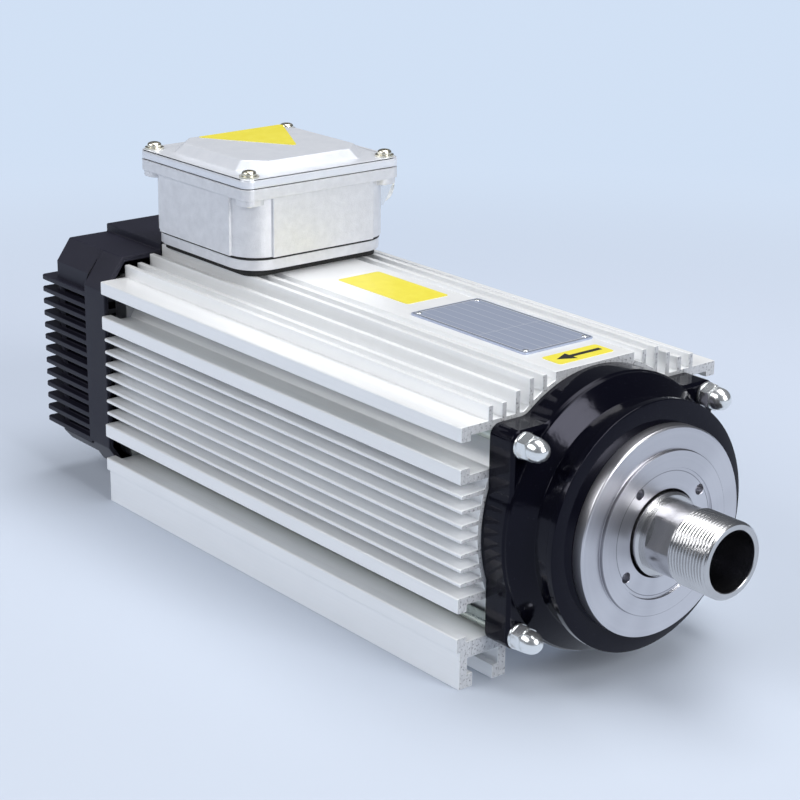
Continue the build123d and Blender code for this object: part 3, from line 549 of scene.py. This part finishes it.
def turned(shape, stations, steps, place):
    """Add a closed skin through rings to a shape.

    Each ring is a station along X and a radius, or a rule for one. The place is a matrix.
    """
    rows = []
    for x, radius in stations:
        if radius == 0:
            rows.append([shape.verts.new(place @ Vector((x, 0, 0)))] * steps)
            continue
        row = []
        for step in range(steps):
            angle = 2 * pi * step / steps
            reach = radius(x, angle) if callable(radius) else radius
            row.append(shape.verts.new(place @ Vector((x, reach * cos(angle), reach * sin(angle)))))
        rows.append(row)
    faces = []
    for first, second in zip(rows, rows[1:]):
        for step in range(steps):
            after = (step + 1) % steps
            corners = []
            for corner in (first[step], first[after], second[after], second[step]):
                if corner not in corners:
                    corners.append(corner)
            if len(corners) > 2:
                faces.append(shape.faces.new(corners))
    bmesh.ops.recalc_face_normals(shape, faces=faces)


def plain_mesh(shape, name, corner=32.0):
    """Make a mesh of a shape, smooth except across its corners."""
    mesh = bpy.data.meshes.new(name)
    shape.to_mesh(mesh)
    shape.free()
    for face in mesh.polygons:
        face.use_smooth = True
    mesh.set_sharp_from_angle(angle=radians(corner))
    return mesh


row_count = ceil(thread_length / thread_pitch * rows_per_pitch)
thread_rings = [
    (thread_start_x + thread_length * row / row_count, thread_radius) for row in range(1, row_count)
]
shaft_shape = bmesh.new()
turned(
    shaft_shape,
    [
        (shaft_low.x, 0),
        (shaft_low.x, fan_seat_radius - nose_chamfer),
        (shaft_low.x + nose_chamfer, fan_seat_radius),
        (shaft_low.x + fan_seat_end, fan_seat_radius),
        (shaft_low.x + fan_seat_end, rear_seat_radius),
        (shaft_low.x + rear_seat_end, rear_seat_radius),
        (shaft_low.x + rear_seat_end, rotor_seat_radius),
        (collar_back_x - front_seat_length, rotor_seat_radius),
        (collar_back_x - front_seat_length, neck_radius),
        (collar_back_x, neck_radius),
        (collar_back_x, collar_radius),
        (collar_x - nose_chamfer, collar_radius),
        (collar_x, collar_radius - nose_chamfer),
        (collar_x, neck_radius),
        (flats_start_x, neck_radius),
        (flats_start_x + edge_step, neck_reach),
        (flats_end_x - edge_step, neck_reach),
        (flats_end_x, neck_radius),
        (thread_start_x, neck_radius),
        *thread_rings,
        (nose_x, nose_radius - nose_chamfer),
        (nose_x, mouth_radius + mouth_chamfer),
        (nose_x - mouth_chamfer, mouth_radius),
        (nose_x - taper_depth, taper_end_radius),
        (nose_x - taper_depth, relief_radius),
        (nose_x - relief_depth, relief_radius),
        (nose_x - relief_depth - drill_point_length, 0),
    ],
    round_steps,
    Matrix.Translation((0, 0, axis_height)),
)

ground_steel = Finish("ground steel", (0.60, 0.60, 0.61), metallic=1.0, roughness=0.2)
lathe_lines = ground_steel.noise(ground_steel.stretched((5200, 8, 8)), 1.0, 2.0)
stain = ground_steel.noise(ground_steel.stretched((140, 90, 90)), 1.0, 4.0)
ground_steel.feed("Roughness", 0.13 + lathe_lines * 0.12 + stain * 0.08)
bare_tone = ground_steel.blend(stain, (0.5, 0.5, 0.51), (0.7, 0.7, 0.71))
# Painted shade: the base colour is darkened inside the collet's mouth and bore, where shade falls.
in_bore = ground_steel.off_axis("LENGTH", "Value") < mouth_radius + bore_margin
behind_mouth = ground_steel.axis("X") < nose_x - bore_margin
painted_bore_shade = in_bore * behind_mouth * (ground_steel.axis("X") > nose_x - relief_depth)
ground_steel.feed("Base Color", ground_steel.blend(painted_bore_shade, bare_tone, (0.28, 0.28, 0.30)))
ground_steel.bump(lathe_lines, 0.00001, 0.6)
shaft_mesh = plain_mesh(shaft_shape, "shaft")
shaft = add("shaft_finished", shaft_mesh, ground_steel, "spindle")
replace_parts(shaft, "spindle_shaft")

# ---- Tie rods and nuts ----
# Four long zinc-plated rods clamp the end plates to the tube. Nickel-plated cap nuts on washers
# close them in front, and plain nuts behind.
cap_nut_height = 0.0132
nut_offset = 0.0403
nut_half_flats = 0.005
nut_top = 0.0062
nut_corner_reach = 1.05      # of its half flats, left of its corners at both ends
nut_corner_slope = 1.6
nut_steps = 48
nut_bottom_break = 0.0005    # the height over which its corners come out, then go in
nut_top_break = 0.0006
washer_radius = 0.0055
washer_height = 0.0012
edge_break = 0.0002
dome_radius = 0.00475
dome_start = 0.0078
dome_rings = 10
rear_nut_edge = 0.0003

zinc = Finish("zinc plate", (0.62, 0.66, 0.62), metallic=1.0, roughness=0.25)
passivation = zinc.noise(zinc.stretched((60, 200, 200)), 1.0, 4.0)
zinc.feed("Base Color", zinc.blend(passivation, (0.48, 0.56, 0.52), (0.68, 0.70, 0.64)))
zinc.feed("Roughness", 0.2 + passivation * 0.15)
zinc.wear("tie_rods")

nickel = Finish("bright nickel plate", (0.86, 0.88, 0.89), metallic=0.9, roughness=0.26)
plating = nickel.noise(nickel.place, 500.0, 3.0)
nickel.feed("Roughness", 0.2 + plating * 0.08)
nickel.bump(plating, 0.000003, 0.5)


def hexagon(x, angle):
    """The radius of a nut's hexagon, its corners rounded off by the lathe at both ends."""
    turn_in_side = (angle + pi / 6) % (pi / 3) - pi / 6
    end = min(x - washer_height, nut_top - x)
    corner = nut_half_flats * nut_corner_reach + end * nut_corner_slope
    return min(nut_half_flats / cos(turn_in_side), corner)


nuts_low, nuts_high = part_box("cap_nuts")
round_end = [
    (
        dome_start + (cap_nut_height - dome_start) * sin(pi / 2 * ring / dome_rings),
        dome_radius * cos(pi / 2 * ring / dome_rings) if ring < dome_rings else 0,
    )
    for ring in range(dome_rings + 1)
]
nut_shape = bmesh.new()
for nut_y in (nuts_low.y + washer_radius, nuts_high.y - washer_radius):
    for nut_z in (axis_height - nut_offset, axis_height + nut_offset):
        turned(
            nut_shape,
            [
                (0, 0),
                (0, washer_radius - edge_break),
                (edge_break, washer_radius),
                (washer_height - edge_break, washer_radius),
                (washer_height, washer_radius - edge_break),
                (washer_height, hexagon),
                (washer_height + nut_bottom_break, hexagon),
                (nut_top - nut_top_break, hexagon),
                (nut_top - nut_top_break / 2, hexagon),
                (nut_top, hexagon),
                (nut_top, dome_radius),
                *round_end,
            ],
            nut_steps,
            Matrix.Translation((nuts_low.x, nut_y, nut_z)),
        )
stand_in("cap_nuts", plain_mesh(nut_shape, "cap nuts", 28.0), nickel)
softened("rear_nuts", zinc, rear_nut_edge)

# ---- Screws ----
# Small pan-headed screws with a crossed recess: four hold the lid, on washers, and four the cowl.
# The lid's screws are yellow zinc and their tips show under the ears, and the cowl's are blackened.
recess_reach = 0.0018
recess_width = 0.0007
recess_depth = 0.0012
tip_radius = 0.0018
tip_length = 0.0011
tip_taper = 0.7
tip_steps = 24
grip_length = 0.0128
head_rings = 7
head_steps = 32
head_side = 0.35             # of a head's height, upright before it rounds over
head_bulge = 0.6             # below 1 it is fuller than a ball
lid_washer = (0.0045, 0.0008)
lid_head = (0.0034, 0.0024)
no_washer = (0, 0)
cowl_head = (0.0035, 0.0024)
cowl_points = ((-0.033, 0.044), (0.033, 0.044), (0.033, -0.0425), (-0.033, -0.0425))
back_wall_offset = 0.0492    # of the cowl's back wall, behind its front
lid_first_turn = 0.5         # of a recess, in radians, and from screw to screw
lid_next_turn = 0.8
cowl_next_turn = 0.7

yellow_zinc = Finish("yellow zinc plate", (0.75, 0.68, 0.50), metallic=1.0, roughness=0.28)
yellow_film = yellow_zinc.noise(yellow_zinc.place, 400.0, 3.0)
zinc_tone = yellow_zinc.blend(yellow_film, (0.66, 0.61, 0.44), (0.86, 0.84, 0.76))
yellow_zinc.feed("Base Color", zinc_tone)
yellow_zinc.feed("Roughness", 0.2 + yellow_film * 0.2)


def pan_screws(places, washer, head, tip=None):
    """Screws at places, each a matrix whose X points out of the screw's head.

    The washer and the head are each a radius and a height. A tip is its distance below.
    """
    shape = bmesh.new()
    cutter = bmesh.new()
    washer_reach, washer_top = washer
    head_reach, head_height = head
    rings = [(0, 0), (0, washer_reach), (washer_top, washer_reach)] if washer_top else [(0, 0)]
    rings.append((washer_top, head_reach))
    for ring in range(head_rings + 1):
        swing = pi / 2 * ring / head_rings
        height = washer_top + head_height * (head_side + (1 - head_side) * sin(swing))
        reach = head_reach * cos(swing) ** head_bulge if ring < head_rings else 0
        rings.append((height, reach))
    for place in places:
        turned(shape, rings, head_steps, place)
        if tip:
            end = -tip - tip_length
            tip_rings = [(-tip, 0), (-tip, tip_radius), (end, tip_radius * tip_taper), (end, 0)]
            turned(shape, tip_rings, tip_steps, place)
        head_top = place @ Matrix.Translation((washer_top + head_height, 0, 0))
        for long, short in ((recess_reach, recess_width / 2), (recess_width / 2, recess_reach)):
            size = Matrix.Diagonal((recess_depth * 2, 2 * long, 2 * short, 1))
            bmesh.ops.create_cube(cutter, size=1, matrix=head_top @ size)
    mesh = bpy.data.meshes.new("screws")
    shape.to_mesh(mesh)
    shape.free()
    cutter_mesh = bpy.data.meshes.new("recesses")
    cutter.to_mesh(cutter_mesh)
    cutter.free()
    piece = bpy.data.objects.new("screws", mesh)
    tool = bpy.data.objects.new("recesses", cutter_mesh)
    for made in (piece, tool):
        bpy.context.scene.collection.objects.link(made)
    cut = piece.modifiers.new("cut", "BOOLEAN")
    cut.object = tool
    cut.solver = "EXACT"
    cut.use_self = True
    mesh = settled(piece)
    bpy.data.objects.remove(tool)
    bpy.data.objects.remove(piece)
    for face in mesh.polygons:
        face.use_smooth = True
    mesh.set_sharp_from_angle(angle=radians(35))
    return mesh


lid_low, lid_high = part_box("box_lid")
lid_middle = (lid_low + lid_high) / 2
screws_low, screws_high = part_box("lid_screws")
screw_offset = (screws_high.x - screws_low.x) / 2 - lid_washer[0]
upright = Matrix.Rotation(-pi / 2, 4, "Y")
lid_places = []
for number, (x, y) in enumerate(((-1, -1), (1, -1), (1, 1), (-1, 1))):
    spot = (lid_middle.x + x * screw_offset, lid_middle.y + y * screw_offset, screws_low.z)
    turn = Matrix.Rotation(lid_first_turn + lid_next_turn * number, 4, "X")
    lid_places.append(Matrix.Translation(spot) @ upright @ turn)
lid_screws = pan_screws(lid_places, lid_washer, lid_head, grip_length)
stand_in("lid_screws", lid_screws, yellow_zinc)

back_wall_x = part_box("fan_cowl")[1].x - back_wall_offset
backwards = Matrix.Rotation(pi, 4, "Z")
cowl_places = []
for number, (y, z) in enumerate(cowl_points):
    turn = Matrix.Rotation(cowl_next_turn * number, 4, "X")
    spot = (back_wall_x, y, axis_height + z)
    cowl_places.append(Matrix.Translation(spot) @ backwards @ turn)
add("cowl_screws", pan_screws(cowl_places, no_washer, cowl_head), dark_steel)

# ---- Fan ----
# Moulded black plastic with straight blades, held on the shaft by a spring clip. It is seen only
# through the slots of the cowl.
fan_plastic = Finish("moulded fan plastic", (0.02, 0.02, 0.022), roughness=0.5)
flow_marks = fan_plastic.noise(fan_plastic.stretched((60, 200, 200)), 1.0, 3.0)
fan_plastic.feed("Roughness", 0.4 + flow_marks * 0.25)
fan_plastic.bump(flow_marks, 0.0002)
fan_plastic.wear("cooling_fan")

# ---- Fan cowl ----
# A black plastic hood moulded in one piece, with louvre slats round its sides and back. The skin
# has a fine spark-eroded grain, and four screws through the back wall hold it to the rear bracket.
grain_size = 0.0004
cowl_edge = 0.0006

plastic = Finish("grained black plastic", (0.009, 0.009, 0.018), roughness=0.5)
plastic.shader.inputs["Specular IOR Level"].default_value = 0.35
grain = plastic.noise(plastic.place, 1 / grain_size, 2.0)
handling = plastic.noise(plastic.place, 38.0, 4.0)
plastic.feed("Roughness", 0.36 + handling * 0.22 + grain * 0.1)
plastic_tone = plastic.blend(handling, (0.007, 0.007, 0.015), (0.013, 0.013, 0.028))
plastic.feed("Base Color", plastic_tone)
plastic.bump(grain, 0.00006, 0.5)
softened("fan_cowl", plastic, cowl_edge, flat=False)

# ---- Terminal box ----
# Sand-cast and painted silver: a base plate and a box with raised panels, corner ears and a flange,
# each part bedded on black rubber. The paint leaves the grit of the sand showing.
grit_size = 0.00055
box_edge = 0.0003
frame_rim = 0.0032           # depth of the solid's rim and of the ears below it
frame_ear = 0.0040
rim_depth = 0.0052           # depth that they are given
ear_depth = 0.0028
same_level = 0.00005
slab_round = 0.015
slab_edge = 0.0003
corner_steps = 10
plate_half = 0.0415
gasket_half = 0.0418

silver = Finish("silver paint on sand casting", (0.60, 0.60, 0.61), metallic=0.55, roughness=0.42)
grit = silver.noise(silver.place, 1 / grit_size, 2.0)
lumps = silver.noise(silver.place, 260.0, 3.0)
silver.feed("Base Color", silver.blend(lumps, (0.64, 0.645, 0.67), (0.82, 0.825, 0.85)))
silver.feed("Roughness", 0.34 + grit * 0.16)
silver.bump(grit * 0.7 + lumps * 0.6, 0.00022, 0.9)
box_low, box_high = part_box("terminal_box")
box_middle = (box_low + box_high) / 2
rim_bottom = box_high.z - frame_rim
ear_bottom = rim_bottom - frame_ear


def deepen_rim(corner):
    """Take the box's rim and its ears down to their real depth."""
    if abs(corner.z - rim_bottom) < same_level:
        corner.z = box_high.z - rim_depth
    elif abs(corner.z - ear_bottom) < same_level:
        corner.z = box_high.z - rim_depth - ear_depth


def prism(outline, bottom, top):
    """A shape closed round an outline's points, from one height to another."""
    shape = bmesh.new()
    lower = [shape.verts.new((*point, bottom)) for point in outline]
    upper = [shape.verts.new((*point, top)) for point in outline]
    shape.faces.new(upper)
    shape.faces.new(list(reversed(lower)))
    for number in range(len(outline)):
        after = (number + 1) % len(outline)
        shape.faces.new((lower[number], lower[after], upper[after], upper[number]))
    bmesh.ops.recalc_face_normals(shape, faces=shape.faces)
    return shape


def slab(name, half, bottom, top, finish):
    """Stand a square slab with large round corners in for a flat piece under the box."""
    outline = []
    for quarter, (x, y) in enumerate(((1, 1), (-1, 1), (-1, -1), (1, -1))):
        for step in range(corner_steps + 1):
            angle = pi / 2 * (quarter + step / corner_steps)
            outline.append((
                box_middle.x + x * (half - slab_round) + slab_round * cos(angle),
                box_middle.y + y * (half - slab_round) + slab_round * sin(angle),
            ))
    mesh = rounded(name + "_finished", prism(outline, bottom, top), slab_edge)
    stand_in(name, mesh, finish)


softened("terminal_box", silver, box_edge, trim=deepen_rim, flat=False)
base_low, base_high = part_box("box_base_plate")
slab("box_base_plate", plate_half, base_low.z, base_high.z, silver)

rubber = Finish("black rubber sheet", (0.012, 0.012, 0.012), roughness=0.75)
rubber_grain = rubber.noise(rubber.place, 1500.0, 2.0)
rubber.feed("Roughness", 0.65 + rubber_grain * 0.2)
rubber.bump(rubber_grain, 0.00005)
rubber.wear("base_gasket", "gland_seal")
slab("box_gasket", gasket_half, base_high.z, box_low.z, rubber)

# ---- Lid ----
# The lid is a smoother casting than the box, with a raised eight-sided top. Its silver paint is
# smoother and lighter too.
lid_edge = 0.0008
seal_edge = 0.0001
frame_seal = 0.0008          # thickness of the solid's seal, then the one it is given
seal_thickness = 0.00025
seal_growth = 1.018
film_thickness = 0.00015

lid_paint = Finish("smooth silver paint", (0.76, 0.78, 0.82), metallic=0.35, roughness=0.30)
lid_grain = lid_paint.noise(lid_paint.place, 2200.0, 2.0)
lid_lumps = lid_paint.noise(lid_paint.place, 150.0, 3.0)
lid_paint.feed("Base Color", lid_paint.blend(lid_lumps, (0.70, 0.73, 0.79), (0.82, 0.84, 0.89)))
lid_paint.feed("Roughness", 0.28 + lid_grain * 0.14)
lid_paint.bump(lid_grain * 0.5 + lid_lumps, 0.00010, 0.8)
plate_underside = box_high.z + frame_seal


def close_lid(corner):
    """Bring the lid's plate down on its seal, and its top down by the label's thickness."""
    if abs(corner.z - plate_underside) < same_level:
        corner.z = box_high.z + seal_thickness
    elif abs(corner.z - lid_high.z) < same_level:
        corner.z = lid_high.z - film_thickness


def spread_seal(corner):
    """Flatten the seal and bring its edge out to just inside the lid's."""
    if corner.z > box_high.z + same_level:
        corner.z = box_high.z + seal_thickness
    corner.x = box_middle.x + (corner.x - box_middle.x) * seal_growth
    corner.y = box_middle.y + (corner.y - box_middle.y) * seal_growth


softened("box_lid", lid_paint, lid_edge, trim=close_lid)
softened("lid_seal", rubber, seal_edge, trim=spread_seal)

# ---- Terminal board ----
# A moulded board with six brass terminals stands inside the closed box.
board = Finish("moulded board", (0.05, 0.05, 0.05), roughness=0.55)
board_flow = board.noise(board.place, 90.0, 3.0)
board.feed("Roughness", 0.5 + board_flow * 0.15)
board.wear("terminal_board")
brass = Finish("bare brass", (0.72, 0.52, 0.20), metallic=1.0, roughness=0.25)
tarnish = brass.noise(brass.place, 300.0, 3.0)
brass.feed("Roughness", 0.2 + tarnish * 0.25)
brass.wear("terminals")

# ---- Cable gland ----
# A nickel-plated brass gland on the far side of the box: a body screwed through the wall, a rubber
# seal and a clamping nut.
gland_edge = 0.0003
gland_nut_edge = 0.0004
softened("gland_body", nickel, gland_edge)
softened("gland_nut", nickel, gland_nut_edge)

# ---- Nameplate ----
# A thin blue-grey metal plate on the top strip, printed with a light border and rows of empty
# fields. Four round-headed pins hold it.
border_inset = 0.0018
field_height = 0.0056
line_width = 0.0003
column_offset = 0.006        # of the upright line, from the plate's middle
plate_edge = 0.0002
pin_radius = 0.0013
pin_height = 0.0005
pin_inset = 0.0030
pin_steps = 24

plate_low, plate_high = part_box("nameplate")
plate_finish = Finish("printed plate", (0.16, 0.19, 0.24), metallic=0.6, roughness=0.35)
plate_x = plate_finish.axis("X")
plate_y = plate_finish.axis("Y")
middle_x = (plate_low.x + plate_high.x) / 2
middle_y = (plate_low.y + plate_high.y) / 2
half_x = (plate_high.x - plate_low.x) / 2 - border_inset
half_y = (plate_high.y - plate_low.y) / 2 - border_inset
reach_x = abs(plate_x - middle_x) - half_x
reach_y = abs(plate_y - middle_y) - half_y
edge_reach = reach_x.larger(reach_y)
border = abs(edge_reach) < line_width
inside = edge_reach < 0.0
field_step = ((plate_y - plate_low.y) / field_height).fraction()
field_line = (field_step < line_width / field_height) * inside
column_line = (abs(plate_x - middle_x - column_offset) < line_width / 2) * inside
print_mask = (border + field_line + column_line).held()
brushed = plate_finish.noise(plate_finish.stretched((60, 4000, 4000)), 1.0, 2.0)
ground = plate_finish.blend(print_mask * 0.8, (0.48, 0.54, 0.69), (0.86, 0.88, 0.94))
rim_mask = (edge_reach > line_width) * (edge_reach < 3 * line_width)
plate_finish.feed("Base Color", plate_finish.blend(rim_mask * 0.7, ground, (0.06, 0.07, 0.10)))
plate_finish.feed("Roughness", 0.28 + brushed * 0.15)
softened("nameplate", plate_finish, plate_edge)

pin_shape = bmesh.new()
for x in (plate_low.x + pin_inset, plate_high.x - pin_inset):
    for y in (plate_low.y + pin_inset, plate_high.y - pin_inset):
        turned(
            pin_shape,
            [
                (0, 0),
                (0, pin_radius),
                (pin_height * 0.5, pin_radius * 0.92),
                (pin_height * 0.85, pin_radius * 0.6),
                (pin_height, 0),
            ],
            pin_steps,
            Matrix.Translation((x, y, plate_high.z)) @ upright,
        )
add("nameplate_pins", plain_mesh(pin_shape, "pins"), nickel)

# ---- Labels ----
# Three yellow film labels: one on the strip and one on the lid are left empty, and the one by the
# flange shows with an arrow which way the spindle turns.
label_low = (-0.03785, -0.0081)
label_high = (0.01245, 0.0159)
arrow_low = (0.10505, -0.0145)
arrow_high = (0.11645, 0.0161)
lid_corners = ((-0.1326, -0.0204), (-0.0893, 0.0074), (-0.1343, 0.0316))
corner_round = 0.0015
film_steps = 6               # of a rounded corner
ink_thickness = 0.00005
arrow_tail_y = 0.0134
arrow_neck_y = -0.0030
arrow_tip_y = -0.0110
shaft_half_width = 0.0012
head_half_width = 0.0038


def film(corners, height, radius, name, finish):
    """A thin sheet with rounded corners, lying level with its underside at the height."""
    points = []
    for number, corner in enumerate(corners):
        here = Vector(corner)
        before = (Vector(corners[number - 1]) - here).normalized()
        after = (Vector(corners[(number + 1) % len(corners)]) - here).normalized()
        half = before.angle(after) / 2
        setback = radius / tan(half)
        middle = here + (before + after).normalized() * radius / sin(half)
        first = here + before * setback - middle
        swing = first.angle_signed(here + after * setback - middle)
        for step in range(film_steps + 1):
            points.append(middle + Matrix.Rotation(-swing * step / film_steps, 2) @ first)
    add(name, plain_mesh(prism(points, height, height + film_thickness), name), finish)


def rectangle(low, high):
    """The corners of a rectangle."""
    return (low, (high[0], low[1]), high, (low[0], high[1]))


yellow = Finish("yellow film", (0.90, 0.62, 0.02), roughness=0.38)
wrinkle = yellow.noise(yellow.place, 160.0, 3.0)
yellow.feed("Base Color", yellow.blend(wrinkle, (0.70, 0.60, 0.03), (0.80, 0.72, 0.09)))
yellow.bump(wrinkle, 0.0001, 0.4)
strip_top = plate_low.z
film(rectangle(label_low, label_high), strip_top, corner_round, "strip_label", yellow)
film(rectangle(arrow_low, arrow_high), strip_top, corner_round, "arrow_label", yellow)
film(lid_corners, lid_high.z - film_thickness, corner_round, "lid_label", yellow)

ink = Finish("black print", (0.015, 0.015, 0.015), roughness=0.4)
ink_grain = ink.noise(ink.place, 900.0, 2.0)
ink.feed("Roughness", 0.35 + ink_grain * 0.15)
arrow_x = (arrow_low[0] + arrow_high[0]) / 2
arrow_points = (
    (arrow_x - shaft_half_width, arrow_tail_y),
    (arrow_x - shaft_half_width, arrow_neck_y),
    (arrow_x - head_half_width, arrow_neck_y),
    (arrow_x, arrow_tip_y),
    (arrow_x + head_half_width, arrow_neck_y),
    (arrow_x + shaft_half_width, arrow_neck_y),
    (arrow_x + shaft_half_width, arrow_tail_y),
)
arrow_shape = bmesh.new()
arrow_face = arrow_shape.faces.new([
    arrow_shape.verts.new((x, y, strip_top + film_thickness)) for x, y in arrow_points
])
grown = bmesh.ops.extrude_face_region(arrow_shape, geom=[arrow_face])
for part in grown["geom"]:
    if isinstance(part, bmesh.types.BMVert):
        part.co.z += ink_thickness
bmesh.ops.recalc_face_normals(arrow_shape, faces=arrow_shape.faces)
add("arrow_print", plain_mesh(arrow_shape, "arrow"), ink)
